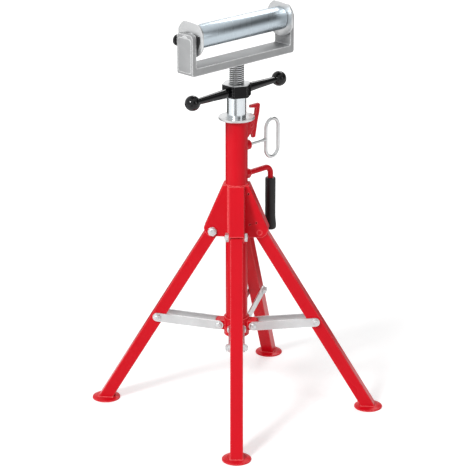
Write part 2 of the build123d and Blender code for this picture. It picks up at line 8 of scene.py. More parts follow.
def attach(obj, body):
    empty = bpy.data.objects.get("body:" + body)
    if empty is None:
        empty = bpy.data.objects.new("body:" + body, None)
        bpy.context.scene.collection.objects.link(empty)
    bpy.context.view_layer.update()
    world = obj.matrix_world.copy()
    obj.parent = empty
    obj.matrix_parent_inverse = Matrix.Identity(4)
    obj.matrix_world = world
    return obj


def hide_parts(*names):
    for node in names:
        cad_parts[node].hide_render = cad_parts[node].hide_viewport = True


bl_info = {
    "name": "Pipe Stand Finish",
    "version": (1, 0, 0),
    "blender": (4, 5, 0),
    "location": "3D View > Sidebar > Pipe Stand",
    "description": "Dresses a folding pipe stand with enamel, zinc, cast metal, welds and fasteners",
    "category": "Object",
}

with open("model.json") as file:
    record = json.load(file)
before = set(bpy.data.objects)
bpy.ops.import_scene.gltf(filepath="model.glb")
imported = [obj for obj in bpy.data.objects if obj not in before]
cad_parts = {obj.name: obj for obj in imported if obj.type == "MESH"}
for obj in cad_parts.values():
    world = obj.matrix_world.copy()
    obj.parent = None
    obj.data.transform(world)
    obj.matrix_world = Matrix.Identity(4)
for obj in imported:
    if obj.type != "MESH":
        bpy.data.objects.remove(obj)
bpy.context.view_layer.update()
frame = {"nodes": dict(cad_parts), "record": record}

MM = 0.001

# the stand's own layout, in millimetres, as in the part
ARMS = {"front": 0.0, "right": 85.0, "rear": 165.0, "left": 265.0}
SECTOR = {"front": (47.5, 42.5), "right": (42.5, 40.0), "rear": (40.0, 50.0), "left": (50.0, 47.5)}
POST_R = 22.0
HINGE_RHO, HINGE_Z, EAR_OUT = 47.0, 375.0, 15.5
BRACKET_LOW, BRACKET_TOP = 364.5, 472.0
LEAN, LEG_W, FOOT_T = 31.0, 25.0, 5.0
LINK_RHO, LINK_Z, STRAP_IN, STRAP_OUT = 159.96, 187.0, 12.9, 15.9
EYE_RHO, EYE_Z = 35.0, 174.0
PLAIN_END = ("right", -1)
FIT_AZ, PIN_Z, CLAMP_Z, BOSS_R, NUT_R = 135.0, 545.0, 486.0, 10.0, 10.4
HEAD_AZ, HEAD_OUT, ROLL_Z = 134.0, 136.0, 787.0
HEAD_W, HEAD_Z1, PAD_W, PAD_H = 43.0, 798.0, 37.0, 68.0
ROLL_R, ROLL_HALF = 23.0, 116.5
GUARD_X, GUARD_T, GUARD_R, GUARD_TOP, GUARD_CUT, GUARD_SIDE = 117.5, 4.0, 36.5, 31.0, 23.5, 33.5
SCREW_R, SCREW_Z0, HEAD_Z0, BAR_TOP = 15.0, 580.0, 718.0, 733.0
GRIP_RHO, GRIP_Z0, GRIP_Z1, GRIP_R = 96.0, 353.0, 462.0, 10.5
HUB_BARE_Z = 676.25
HAND_AZ, HAND_Z, ARM_ROOT, ARM_END = 136.5, 661.6, 23.4, 83.4
HOOK_RHO, HOOK_Z, CHEEK_IN, CHEEK_T = 36.5, 585.0, 2.8, 3.0
CHEEK = ((21.2, 562), (26, 561), (43.5, 577), (44.5, 590), (41, 598), (36, 602.5), (21.2, 602.5))


def out(az):
    """Level direction away from the post."""
    return Vector((sin(radians(az)), -cos(radians(az)), 0))


def across(az):
    """Level direction along a hinge."""
    return Vector((cos(radians(az)), sin(radians(az)), 0))


def at(az, rho, z, side=0.0):
    return out(az) * rho + across(az) * side + Vector((0, 0, z))


def facing(origin, axis):
    """Matrix that stands a shape built up the Z axis on a point, along another axis."""
    return Matrix.Translation(origin) @ axis.to_track_quat("Z", "Y").to_matrix().to_4x4()


class StandSizes(bpy.types.PropertyGroup):
    thread_pitch: bpy.props.FloatProperty(
        name="Thread pitch", description="Height of one turn of the jack screw", default=4 * MM,
        min=2 * MM, max=8 * MM, unit="LENGTH")
    thread_depth: bpy.props.FloatProperty(
        name="Thread depth", description="From the crest to the root of the thread", default=1.7 * MM,
        min=0.5 * MM, max=3 * MM, unit="LENGTH")
    weld_radius: bpy.props.FloatProperty(
        name="Weld bead", description="Half the width of a weld bead", default=1.7 * MM,
        min=0.5 * MM, max=4 * MM, unit="LENGTH")
    weld_step: bpy.props.FloatProperty(
        name="Weld ripple", description="Spacing of the ripples along a weld", default=1.9 * MM,
        min=0.5 * MM, max=5 * MM, unit="LENGTH")


class StandColours(bpy.types.PropertyGroup):
    enamel: bpy.props.FloatVectorProperty(
        name="Enamel", description="Colour of the painted tubes", subtype="COLOR", size=3, min=0, max=1,
        default=(0.67, 0.004, 0.014))
    # this colour is a painted highlight laid along the enamel's convex edges
    enamel_edge_highlight: bpy.props.FloatVectorProperty(
        name="Enamel edge", description="Colour where the enamel is thin on an edge", subtype="COLOR", size=3,
        min=0, max=1, default=(1.0, 0.20, 0.21))
    zinc: bpy.props.FloatVectorProperty(
        name="Zinc", description="Colour of the plated links and fasteners", subtype="COLOR", size=3, min=0,
        max=1, default=(0.66, 0.67, 0.675))
    steel: bpy.props.FloatVectorProperty(
        name="Steel", description="Colour of the drawn inner post", subtype="COLOR", size=3, min=0, max=1,
        default=(0.64, 0.675, 0.70))
    cast: bpy.props.FloatVectorProperty(
        name="Cast alloy", description="Colour of the roller frame", subtype="COLOR", size=3, min=0, max=1,
        default=(0.36, 0.365, 0.37))
    roller: bpy.props.FloatVectorProperty(
        name="Roller", description="Colour of the turned roller", subtype="COLOR", size=3, min=0, max=1,
        default=(0.50, 0.57, 0.62))
    black: bpy.props.FloatVectorProperty(
        name="Black", description="Colour of the hand hub, arms and balls", subtype="COLOR", size=3, min=0,
        max=1, default=(0.003, 0.003, 0.0035))
    rubber: bpy.props.FloatVectorProperty(
        name="Rubber", description="Colour of the grip", subtype="COLOR", size=3, min=0, max=1,
        default=(0.006, 0.006, 0.0065))


class Shader:
    """Short words for adding nodes to one node tree."""

    def __init__(self, tree):
        self.tree = tree

    def feed(self, socket, value):
        if isinstance(value, bpy.types.NodeSocket):
            self.tree.links.new(value, socket)
        else:
            socket.default_value = value

    def add(self, kind, sockets=None, **settings):
        node = self.tree.nodes.new(kind)
        for key, value in settings.items():
            setattr(node, key, value)
        for key, value in (sockets or {}).items():
            self.feed(node.inputs[key], value)
        return node

    def math(self, operation, a, b=0.0):
        return self.add("ShaderNodeMath", {0: a, 1: b}, operation=operation, use_clamp=False).outputs[0]

    def mix(self, factor, a, b):
        node = self.add("ShaderNodeMix", data_type="RGBA")
        for index, value in ((0, factor), (6, a), (7, b)):
            self.feed(node.inputs[index], value)
        return node.outputs[2]

    def remap(self, value, low, high, start, end):
        return self.add("ShaderNodeMapRange", {"Value": value, "From Min": low, "From Max": high,
                                               "To Min": start, "To Max": end}).outputs["Result"]

    def noise(self, vector, scale, detail=2.0, rough=0.5):
        return self.add("ShaderNodeTexNoise", {"Vector": vector, "Scale": scale, "Detail": detail,
                                               "Roughness": rough}).outputs["Fac"]

    def stretch(self, vector, scale, turn=(0, 0, 0)):
        return self.add("ShaderNodeMapping", {"Vector": vector, "Rotation": turn, "Scale": scale}).outputs[0]


def make_group(name, inputs, outputs, build):
    """Node group with named sockets, built once."""
    tree = bpy.data.node_groups.get(name)
    if tree:
        return tree
    tree = bpy.data.node_groups.new(name, "ShaderNodeTree")
    for label, kind, value in inputs:
        socket = tree.interface.new_socket(name=label, in_out="INPUT", socket_type=kind)
        if value is not None:
            socket.default_value = value
    for label, kind in outputs:
        tree.interface.new_socket(name=label, in_out="OUTPUT", socket_type=kind)
    shader = Shader(tree)
    source = tree.nodes.new("NodeGroupInput").outputs
    results = tree.nodes.new("NodeGroupOutput").inputs
    for label, value in build(shader, source).items():
        shader.feed(results[label], value)
    return tree


def coat_texture(s, source):
    """Slow drift of tone, and the fine ripple of sprayed or rolled metal."""
    fine = s.noise(source["Vector"], source["Ripple"], 2.0, 0.55)
    slow = s.noise(source["Vector"], source["Drift"], 3.0, 0.6)
    return {"Height": fine, "Tone": s.remap(slow, 0.2, 0.8, 0.0, 1.0)}


def edge_wear_and_highlight(s, source):
    """Bright on convex edges, broken up by noise: mostly a painted edge highlight, and on the black hub also bare
    worn metal.
    """
    rounded = s.add("ShaderNodeBevel", {"Radius": source["Radius"]}, samples=6).outputs[0]
    flat = s.add("ShaderNodeNewGeometry").outputs["Normal"]
    bend = s.add("ShaderNodeVectorMath", {0: rounded, 1: flat}, operation="DOT_PRODUCT").outputs["Value"]
    edge = s.remap(bend, 0.995, 0.92, 0.0, 1.0)
    grit = s.remap(s.noise(source["Vector"], source["Grit"], 3.0, 0.7), 0.35, 0.6, 0.4, 1.0)
    return {"Mask": s.math("MULTIPLY", s.math("MULTIPLY", edge, grit), source["Amount"])}


def drawn_lines(s, source):
    """Long fine scratches: the vector is stretched along them."""
    lines = s.noise(source["Vector"], source["Scale"], 3.0, 0.65)
    return {"Height": lines, "Streak": s.remap(lines, 0.35, 0.65, 0.0, 1.0)}


def groups():
    vector, number = "NodeSocketVector", "NodeSocketFloat"
    return {
        "coat": make_group("Coat Texture", [("Vector", vector, None), ("Ripple", number, 900.0),
                                            ("Drift", number, 9.0)],
                           [("Height", number), ("Tone", number)], coat_texture),
        "wear_and_highlight": make_group("Edge Wear And Highlight", [("Vector", vector, None), ("Radius", number, 0.001),
                                         ("Grit", number, 260.0), ("Amount", number, 0.5)],
                           [("Mask", number)], edge_wear_and_highlight),
        "lines": make_group("Drawn Lines", [("Vector", vector, None), ("Scale", number, 40.0)],
                            [("Height", number), ("Streak", number)], drawn_lines),
    }


def fed_group(s, tree, sockets):
    node = s.tree.nodes.new("ShaderNodeGroup")
    node.node_tree = tree
    for key, value in sockets.items():
        s.feed(node.inputs[key], value)
    return node.outputs


def start(name):
    """Empty material with a Principled shader and object coordinates."""
    old = bpy.data.materials.get(name)
    if old:
        bpy.data.materials.remove(old)
    material = bpy.data.materials.new(name)
    material.use_nodes = True
    s = Shader(material.node_tree)
    base = material.node_tree.nodes["Principled BSDF"]
    place = s.add("ShaderNodeTexCoord").outputs["Object"]
    return material, s, base, place


def rgba(colour, gain=1.0):
    return tuple(min(1.0, c * gain) for c in colour) + (1.0,)


def set_bump(s, base, height, strength, distance):
    bump = s.add("ShaderNodeBump", {"Height": height, "Strength": strength, "Distance": distance})
    s.feed(base.inputs["Normal"], bump.outputs[0])


def enamel(g, c):
    material, s, base, place = start("red_paint")
    coat = fed_group(s, g["coat"], {"Vector": place, "Ripple": 620.0, "Drift": 7.0})
    wear_and_highlight = fed_group(s, g["wear_and_highlight"], {"Vector": place, "Radius": 0.0026, "Grit": 180.0, "Amount": 0.9})
    tone = s.mix(coat["Tone"], rgba(c.enamel, 0.92), rgba(c.enamel, 1.06))
    # painted highlight: the edge mask turns the enamel pink-white along convex edges
    s.feed(base.inputs["Base Color"], s.mix(wear_and_highlight["Mask"], tone, rgba(c.enamel_edge_highlight)))
    s.feed(base.inputs["Roughness"], s.remap(coat["Tone"], 0.0, 1.0, 0.34, 0.25))
    base.inputs["Specular IOR Level"].default_value = 0.14
    set_bump(s, base, coat["Height"], 0.15, 0.0003)
    return material


def zinc(g, c):
    material, s, base, place = start("zinc")
    coat = fed_group(s, g["coat"], {"Vector": place, "Ripple": 480.0, "Drift": 34.0})
    wear_and_highlight = fed_group(s, g["wear_and_highlight"], {"Vector": place, "Radius": 0.0012, "Grit": 400.0, "Amount": 0.8})
    tone = s.mix(coat["Tone"], rgba(c.zinc, 0.84), rgba(c.zinc))
    # painted highlight: the edge mask turns the zinc near white along convex edges
    s.feed(base.inputs["Base Color"], s.mix(wear_and_highlight["Mask"], tone, (0.95, 0.95, 0.95, 1)))
    s.feed(base.inputs["Roughness"], s.remap(coat["Tone"], 0.0, 1.0, 0.42, 0.28))
    base.inputs["Metallic"].default_value = 0.92
    set_bump(s, base, coat["Height"], 0.12, 0.0002)
    return material


def zinc_thread(g, c):
    material, s, base, place = start("zinc_thread")
    coat = fed_group(s, g["coat"], {"Vector": place, "Ripple": 600.0, "Drift": 30.0})
    radius = s.add("ShaderNodeVectorMath", {0: s.stretch(place, (1, 1, 0))}, operation="LENGTH").outputs["Value"]
    # painted shade and highlight: the thread roots go near black and the crests get brightened zinc
    crest = s.remap(radius, (SCREW_R - 1.9) * MM, (SCREW_R - 0.4) * MM, 0.0, 1.0)
    tone = s.mix(coat["Tone"], rgba(c.zinc, 1.1), rgba(c.zinc, 1.3))
    s.feed(base.inputs["Base Color"], s.mix(crest, (0.03, 0.03, 0.03, 1), tone))
    s.feed(base.inputs["Roughness"], s.remap(crest, 0.0, 1.0, 0.5, 0.2))
    base.inputs["Metallic"].default_value = 0.95
    set_bump(s, base, coat["Height"], 0.12, 0.0002)
    return material


def post_steel(g, c):
    material, s, base, place = start("post_steel")
    lines = fed_group(s, g["lines"], {"Vector": s.stretch(place, (260, 260, 5)), "Scale": 1.0})
    coat = fed_group(s, g["coat"], {"Vector": place, "Ripple": 300.0, "Drift": 22.0})
    s.feed(base.inputs["Base Color"], s.mix(coat["Tone"], rgba(c.steel, 0.9), rgba(c.steel, 1.05)))
    s.feed(base.inputs["Roughness"], s.remap(lines["Streak"], 0.0, 1.0, 0.12, 0.22))
    base.inputs["Metallic"].default_value = 1.0
    set_bump(s, base, lines["Height"], 0.05, 0.0001)
    return material


def cast_alloy(g, c, name="cast_alloy", edge_highlight=1.0):
    material, s, base, place = start(name)
    coat = fed_group(s, g["coat"], {"Vector": place, "Ripple": 900.0, "Drift": 30.0})
    wear_and_highlight = fed_group(s, g["wear_and_highlight"], {"Vector": place, "Radius": 0.0034, "Grit": 300.0, "Amount": edge_highlight})
    tone = s.mix(coat["Tone"], rgba(c.cast, 0.88), rgba(c.cast, 1.08))
    # painted highlight: the edge mask lightens the cast alloy along convex edges, scaled by the last argument
    s.feed(base.inputs["Base Color"], s.mix(wear_and_highlight["Mask"], tone, (0.90, 0.91, 0.91, 1)))
    s.feed(base.inputs["Roughness"], s.remap(coat["Height"], 0.3, 0.7, 0.40, 0.54))
    base.inputs["Metallic"].default_value = 0.4
    set_bump(s, base, coat["Height"], 0.35, 0.0004)
    return material


def roller_steel(g, c):
    material, s, base, place = start("roller_steel")
    turn = (0, 0, -atan2(out(HEAD_AZ).y, out(HEAD_AZ).x))
    rings = fed_group(s, g["lines"], {"Vector": s.stretch(place, (700, 3, 3), turn), "Scale": 1.0})
    coat = fed_group(s, g["coat"], {"Vector": place, "Ripple": 300.0, "Drift": 16.0})
    tone = s.mix(coat["Tone"], rgba(c.roller, 0.93), rgba(c.roller, 1.04))
    s.feed(base.inputs["Base Color"], s.mix(rings["Streak"], rgba(c.roller, 0.95), tone))
    s.feed(base.inputs["Roughness"], s.remap(rings["Streak"], 0.0, 1.0, 0.34, 0.27))
    base.inputs["Metallic"].default_value = 1.0
    set_bump(s, base, rings["Height"], 0.02, 0.0001)
    return material


def black_gloss(g, c, name, gloss, bare_above=None):
    material, s, base, place = start(name)
    coat = fed_group(s, g["coat"], {"Vector": place, "Ripple": 500.0, "Drift": 20.0})
    tone = s.mix(coat["Tone"], rgba(c.black), rgba(c.black, 1.9))
    rough = s.remap(coat["Tone"], 0.0, 1.0, 0.11, 0.06)
    if bare_above is None:
        s.feed(base.inputs["Base Color"], tone)
        s.feed(base.inputs["Roughness"], rough)
    else:
        height = s.add("ShaderNodeSeparateXYZ", {0: place}).outputs["Z"]
        wear_and_highlight = fed_group(s, g["wear_and_highlight"], {"Vector": place, "Radius": 0.0009, "Grit": 300.0, "Amount": 0.8})
        bare = s.remap(height, bare_above * MM, (bare_above + 0.1) * MM, 0.0, 1.0)
        # edges go bare metal, which also serves as a painted highlight on the hub's edges
        bare = s.math("MAXIMUM", bare, wear_and_highlight["Mask"])
        s.feed(base.inputs["Base Color"], s.mix(bare, tone, rgba(c.zinc, 0.95)))
        s.feed(base.inputs["Roughness"], s.mix(bare, rough, (0.33, 0.33, 0.33, 1)))
        s.feed(base.inputs["Metallic"], bare)
    base.inputs["Specular IOR Level"].default_value = gloss
    set_bump(s, base, coat["Height"], 0.05, 0.0001)
    return material


def grip_rubber(g, c):
    material, s, base, place = start("grip_rubber")
    coat = fed_group(s, g["coat"], {"Vector": place, "Ripple": 1400.0, "Drift": 60.0})
    s.feed(base.inputs["Base Color"], s.mix(coat["Tone"], rgba(c.rubber), rgba(c.rubber, 2.4)))
    s.feed(base.inputs["Roughness"], s.remap(coat["Tone"], 0.0, 1.0, 0.30, 0.45))
    base.inputs["Specular IOR Level"].default_value = 0.3
    set_bump(s, base, coat["Height"], 0.45, 0.0005)
    return material


def bearing_steel(g, c):
    material, s, base, place = start("bearing_steel")
    coat = fed_group(s, g["coat"], {"Vector": place, "Ripple": 700.0, "Drift": 60.0})
    s.feed(base.inputs["Base Color"], s.mix(coat["Tone"], rgba(c.zinc, 0.6), rgba(c.zinc, 0.95)))
    s.feed(base.inputs["Roughness"], s.remap(coat["Height"], 0.3, 0.7, 0.22, 0.34))
    base.inputs["Metallic"].default_value = 1.0
    set_bump(s, base, coat["Height"], 0.05, 0.0001)
    return material


def spun(profile, steps=32, angle=2 * pi):
    """Turned shape from (radius, height) points."""
    part = bmesh.new()
    points = [part.verts.new((r, 0, h)) for r, h in profile]
    lines = [part.edges.new(pair) for pair in zip(points, points[1:])]
    bmesh.ops.spin(part, geom=points + lines, cent=(0, 0, 0), axis=(0, 0, 1), dvec=(0, 0, 0),
                   angle=angle, steps=steps, use_merge=True, use_normal_flip=False, use_duplicate=False)
    return part


def hexagon(flats, height, bevel, turn=0.0):
    """Hexagonal head standing on the origin, its upper corners bevelled."""
    part = bmesh.new()
    bmesh.ops.create_cone(part, cap_ends=True, cap_tris=False, segments=6, radius1=flats / sqrt(3),
                          radius2=flats / sqrt(3), depth=height,
                          matrix=Matrix.Rotation(radians(turn), 4, "Z") @ Matrix.Translation((0, 0, height / 2)))
    top = [e for e in part.edges if all(v.co.z > height - 0.01 for v in e.verts)]
    bmesh.ops.bevel(part, geom=top, offset=bevel, offset_type="OFFSET", segments=3, profile=0.5,
                    affect="EDGES", material=-1)
    return part


def join(whole, part, place):
    """Adds a part to a piece, closed, facing outwards and set in its place."""
    bmesh.ops.remove_doubles(part, verts=part.verts, dist=0.002)
    bmesh.ops.recalc_face_normals(part, faces=part.faces)
    part.transform(place)
    if place.to_3x3().determinant() < 0:
        bmesh.ops.reverse_faces(part, faces=part.faces)
    mesh = bpy.data.meshes.new("part")
    part.to_mesh(mesh)
    part.free()
    whole.from_mesh(mesh)
    bpy.data.meshes.remove(mesh)


def piece(whole, name, body, slot, replaced=(), sharp=38.0, finish=None):
    """Finished piece in metres that moves with its body and wears the material of its finish, else of its slot."""
    material = bpy.data.materials.get(finish or slot)
    if material is None:
        raise RuntimeError(f"{finish or slot} has no material yet")
    bmesh.ops.scale(whole, vec=(MM, MM, MM), verts=whole.verts)
    mesh = bpy.data.meshes.new(name)
    whole.to_mesh(mesh)
    whole.free()
    for face in mesh.polygons:
        face.use_smooth = True
    mesh.set_sharp_from_angle(angle=radians(sharp))
    mesh.materials.append(material)
    obj = bpy.data.objects.new(name, mesh)
    bpy.context.scene.collection.objects.link(obj)
    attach(obj, body)
    if replaced:
        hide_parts(*replaced)
    return obj


def bead(whole, path, closed, radius, step):
    """Ripples of weld laid along a path."""
    if closed:
        path = path + path[:1]
    ripples = []
    for a, b in zip(path, path[1:]):
        count = max(1, round((b - a).length / step))
        ripples += [a.lerp(b, i / count) for i in range(count)]
    if not closed:
        ripples.append(path[-1])
    for first in range(0, len(ripples), 24):
        run = bmesh.new()
        for i, point in enumerate(ripples[first:first + 24], first):
            size = radius * (1.0 + 0.10 * sin(i * 2.4) + 0.05 * sin(i * 0.9))
            bmesh.ops.create_uvsphere(run, u_segments=8, v_segments=6, radius=size,
                                      matrix=Matrix.Translation(point))
        mesh = bpy.data.meshes.new("run")
        run.to_mesh(mesh)
        run.free()
        whole.from_mesh(mesh)
        bpy.data.meshes.remove(mesh)


def arc(az_from, az_to, rho, z, count=24):
    return [at(az_from + (az_to - az_from) * i / count, rho, z) for i in range(count + 1)]


def saddle(az, z, radius, count=28):
    """Round path where a boss meets the post."""
    path = []
    for i in range(count):
        side = radius * cos(2 * pi * i / count)
        path.append(at(az, sqrt(POST_R ** 2 - side ** 2), z + radius * sin(2 * pi * i / count), side))
    return path


DOME = [(0.0, 1.0), (0.22, 0.97), (0.45, 0.87), (0.66, 0.71), (0.84, 0.48), (0.95, 0.24), (1.0, 0.0)]


def dome(radius, height, base=0.0):
    """Profile of a rounded end, closed underneath."""
    return [(radius * r, base + height * h) for r, h in DOME] + [(radius, base - 0.01), (0.0, base - 0.01)]


def washer(radius, hole, height):
    return [(hole, 0), (radius - 0.3, 0), (radius, 0.3), (radius, height - 0.4), (radius - 0.4, height),
            (hole, height), (hole, 0)]


def rod(radius, length, end=0.6):
    return [(0, 0), (radius, 0), (radius, length - end), (radius - end, length), (0, length)]


class STAND_OT_finishes(bpy.types.Operator):
    """Gives every part of the stand its finish"""

    bl_idname = "pipestand.finishes"
    bl_label = "Finishes"

    def execute(self, context):
        colours = context.scene.stand_colours
        g = groups()
        made = {
            "red_paint": enamel(g, colours),
            "zinc": zinc(g, colours),
            "zinc_thread": zinc_thread(g, colours),
            "post_steel": post_steel(g, colours),
            "cast_alloy": cast_alloy(g, colours),
            # the same cast finish without the painted edge highlight, for the screw plug
            "cast_flush": cast_alloy(g, colours, "cast_flush", 0.0),
            "roller_steel": roller_steel(g, colours),
            "black_plastic": black_gloss(g, colours, "black_plastic", 0.32),
            "black_steel": black_gloss(g, colours, "black_steel", 0.14, HUB_BARE_Z),
            "grip_rubber": grip_rubber(g, colours),
            "bearing_steel": bearing_steel(g, colours),
        }
        for entry in frame["record"]["subparts"]:
            slots = frame["nodes"][entry["node"]].data.materials
            if len(slots):
                slots[0] = made[entry["material_slot"]]
            else:
                slots.append(made[entry["material_slot"]])
        return {"FINISHED"}


class STAND_OT_screw(bpy.types.Operator):
    """Cuts the thread of the jack screw"""

    bl_idname = "pipestand.screw"
    bl_label = "Jack Screw"

    def execute(self, context):
        sizes = context.scene.stand_sizes
        pitch, root = sizes.thread_pitch / MM, SCREW_R - 0.05 - sizes.thread_depth / MM
        crest = SCREW_R - 0.05
        low, high, steps = SCREW_Z0 + 2, HEAD_Z0 - 1, 32
        turns = int((high - low) / pitch) + 2
        part = bmesh.new()
        profile = [(root, 0.0), (root, 0.22), (crest, 0.42), (crest, 0.62), (root, 0.82), (root, 1.0)]
        points = [part.verts.new((r, 0, low - pitch + h * pitch)) for r, h in profile]
        lines = [part.edges.new(pair) for pair in zip(points, points[1:])]
        bmesh.ops.spin(part, geom=points + lines, cent=(0, 0, 0), axis=(0, 0, 1), dvec=(0, 0, pitch / steps),
                       angle=2 * pi * turns, steps=steps * turns, use_merge=False, use_normal_flip=False,
                       use_duplicate=False)
        bmesh.ops.remove_doubles(part, verts=part.verts, dist=0.01)
        for height, below in ((low, True), (high, False)):
            bmesh.ops.bisect_plane(part, geom=part.verts[:] + part.edges[:] + part.faces[:],
                                   plane_co=(0, 0, height), plane_no=(0, 0, 1), clear_inner=below,
                                   clear_outer=not below)
            rim = [e for e in part.edges if e.is_boundary and all(abs(v.co.z - height) < 0.01 for v in e.verts)]
            bmesh.ops.holes_fill(part, edges=rim, sides=0)
        whole = bmesh.new()
        join(whole, part, Matrix())
        join(whole, spun(rod(root, 3.0, 1.0)), Matrix.Translation((0, 0, low + 1)) @ Matrix.Rotation(pi, 4, "X"))
        join(whole, spun(rod(crest, BAR_TOP - high - 1.0, 0.8), 48), Matrix.Translation((0, 0, high - 0.5)))
        piece(whole, "jack_screw_thread", "roller_head", "zinc", ["jack_screw"], finish="zinc_thread")
        plug = bmesh.new()
        join(plug, spun(rod(18.4, 0.7, 0.1), 64), Matrix.Translation((0, 0, BAR_TOP - 0.66)))
        piece(plug, "screw_plug", "roller_head", "cast_alloy", finish="cast_flush")
        return {"FINISHED"}


class STAND_OT_fasteners(bpy.types.Operator):
    """Makes the hinge bolts, link studs and collar pins"""

    bl_idname = "pipestand.fasteners"
    bl_label = "Bolts and Pins"

    def hinge_bolt(self, arm, az):
        whole = bmesh.new()
        centre = at(az, HINGE_RHO, HINGE_Z)
        for side in (1, -1):
            place = facing(centre + across(az) * side * EAR_OUT, across(az) * side)
            if (arm, side) == PLAIN_END:
                end = bmesh.new()
                join(end, spun(rod(5.6, 1.0, 0.4)), place @ Matrix.Translation((0, 0, -0.7)))
                piece(end, f"hinge_bolt_end_{arm}", "stand", "red_paint")
                continue
            join(whole, spun(washer(9.0, 4.9, 1.5)), place)
            seat = place @ Matrix.Translation((0, 0, 1.5))
            join(whole, hexagon(16.0, 4.2 if side > 0 else 5.0, 0.7, 15), seat)
            crown = seat @ Matrix.Translation((0, 0, 4.1 if side > 0 else 4.9))
            join(whole, spun(dome(6.9 if side > 0 else 6.2, 1.4 if side > 0 else 2.0)), crown)
        join(whole, spun(rod(5.0, 2 * EAR_OUT)), facing(centre - across(az) * EAR_OUT, across(az)))
        piece(whole, f"hinge_bolt_detail_{arm}", "stand", "zinc", [f"hinge_bolt_{arm}"])

    def link_stud(self, arm, az):
        whole = bmesh.new()
        centre = at(az, LINK_RHO, LINK_Z)
        for side in (1, -1):
            inner = facing(centre + across(az) * side * STRAP_IN, across(az) * side)
            join(whole, spun(rod(3.98, STRAP_OUT - STRAP_IN)), inner)
            place = facing(centre + across(az) * side * STRAP_OUT, across(az) * side)
            join(whole, spun(washer(8.0, 3.9, 1.4)), place)
            seat = place @ Matrix.Translation((0, 0, 1.4))
            join(whole, hexagon(13.0, 3.6, 0.6, 10), seat)
            join(whole, spun(dome(5.0, 1.4)), seat @ Matrix.Translation((0, 0, 3.5)))
        piece(whole, f"link_stud_detail_{arm}", f"{arm}_link", "zinc", [f"link_studs_{arm}"])

    def collar_pin(self, arm, az):
        whole = bmesh.new()
        centre = at(az, EYE_RHO, EYE_Z)
        reach = STRAP_OUT + 0.1
        join(whole, spun(rod(4.0, 2 * reach)), facing(centre - across(az) * reach, across(az)))
        for side in (1, -1):
            join(whole, spun(dome(6.5, 2.2, 1.0)), facing(centre + across(az) * side * reach, across(az) * side))
            join(whole, spun([(0, 0), (6.2, 0), (6.5, 0.3), (6.5, 1.0), (0, 1.0)]),
                 facing(centre + across(az) * side * reach, across(az) * side))
        piece(whole, f"collar_pin_detail_{arm}", "sliding_collar", "zinc", [f"collar_pin_{arm}"])

    def execute(self, context):
        for arm, az in ARMS.items():
            self.hinge_bolt(arm, az)
            self.link_stud(arm, az)
            self.collar_pin(arm, az)
        return {"FINISHED"}


class STAND_OT_head_covers(bpy.types.Operator):
    """Raises the pads on the ends of the frame and fits the axle screws"""

    bl_idname = "pipestand.head_covers"
    bl_label = "Frame Pads and Axle Screws"

    def execute(self, context):
        for tag, side in (("rear", 1), ("front", -1)):
            whole = bmesh.new()
            bmesh.ops.create_cube(whole, size=1.0, matrix=Matrix.Diagonal((PAD_W, PAD_H, 1.6, 1)))
            corners = [e for e in whole.edges if abs(e.verts[0].co.z - e.verts[1].co.z) > 1]
            bmesh.ops.bevel(whole, geom=corners, offset=6.0, offset_type="OFFSET", segments=6, profile=0.5,
                            affect="EDGES", material=-1)
            face = [e for e in whole.edges if all(v.co.z > 0.7 for v in e.verts)]
            bmesh.ops.bevel(whole, geom=face, offset=0.6, offset_type="OFFSET", segments=3, profile=0.5,
                            affect="EDGES", material=-1)
            az = HEAD_AZ if side > 0 else HEAD_AZ + 180
            turned = Matrix((across(az), (0, 0, 1), out(az))).transposed().to_4x4()
            place = Matrix.Translation(at(az, HEAD_OUT, (HEAD_Z0 + HEAD_Z1) / 2 - 1)) @ turned
            pad = bmesh.new()
            join(pad, whole, place)
            piece(pad, f"frame_pad_{tag}", "roller_head", "cast_alloy")
            screw = bmesh.new()
            place = facing(at(HEAD_AZ, side * (HEAD_OUT - 5), ROLL_Z - 5, HEAD_W / 2), across(HEAD_AZ))
            join(screw, spun([(0, 0), (10.0, 0), (11.0, 0.6), (11.2, 3.5), (10.4, 5.6), (8.2, 6.9), (0, 7.4)], 40),
                 place)
            piece(screw, f"axle_screw_{tag}", "roller_head", "black_steel", finish="black_plastic")
        return {"FINISHED"}


class STAND_OT_guards(bpy.types.Operator):
    """Cuts the two guard plates that keep the pipe on the roller"""

    bl_idname = "pipestand.guards"
    bl_label = "Guard Plates"

    def execute(self, context):
        for tag, side in (("rear", 1), ("front", -1)):
            az = HEAD_AZ if side > 0 else HEAD_AZ + 180
            part = bmesh.new()
            bmesh.ops.create_circle(part, cap_ends=True, cap_tris=False, segments=72, radius=GUARD_R)
            cuts = [((0, GUARD_TOP, 0), (0, 1, 0))]
            for way in (1, -1):
                cuts.append(((way * GUARD_CUT, GUARD_TOP, 0), (way * 0.8, 0.62, 0)))
                cuts.append(((way * GUARD_SIDE, 0, 0), (way, 0, 0)))
            for point, normal in cuts:
                bmesh.ops.bisect_plane(part, geom=part.verts[:] + part.edges[:] + part.faces[:], plane_co=point,
                                       plane_no=normal, clear_outer=True)
            made = bmesh.ops.extrude_face_region(part, geom=part.faces[:])
            bmesh.ops.translate(part, vec=(0, 0, GUARD_T),
                                verts=[v for v in made["geom"] if isinstance(v, bmesh.types.BMVert)])
            rims = [e for e in part.edges if abs(e.verts[0].co.z - e.verts[1].co.z) < 0.1]
            bmesh.ops.bevel(part, geom=rims, offset=0.7, offset_type="OFFSET", segments=2, profile=0.5,
                            affect="EDGES", material=-1)
            turned = Matrix((across(az), (0, 0, 1), out(az))).transposed().to_4x4()
            whole = bmesh.new()
            join(whole, part, Matrix.Translation(at(az, GUARD_X, ROLL_Z)) @ turned)
            piece(whole, f"guard_plate_{tag}", "roller_head", "cast_alloy", [f"guard_disc_{tag}"],
                  finish="zinc")
        return {"FINISHED"}


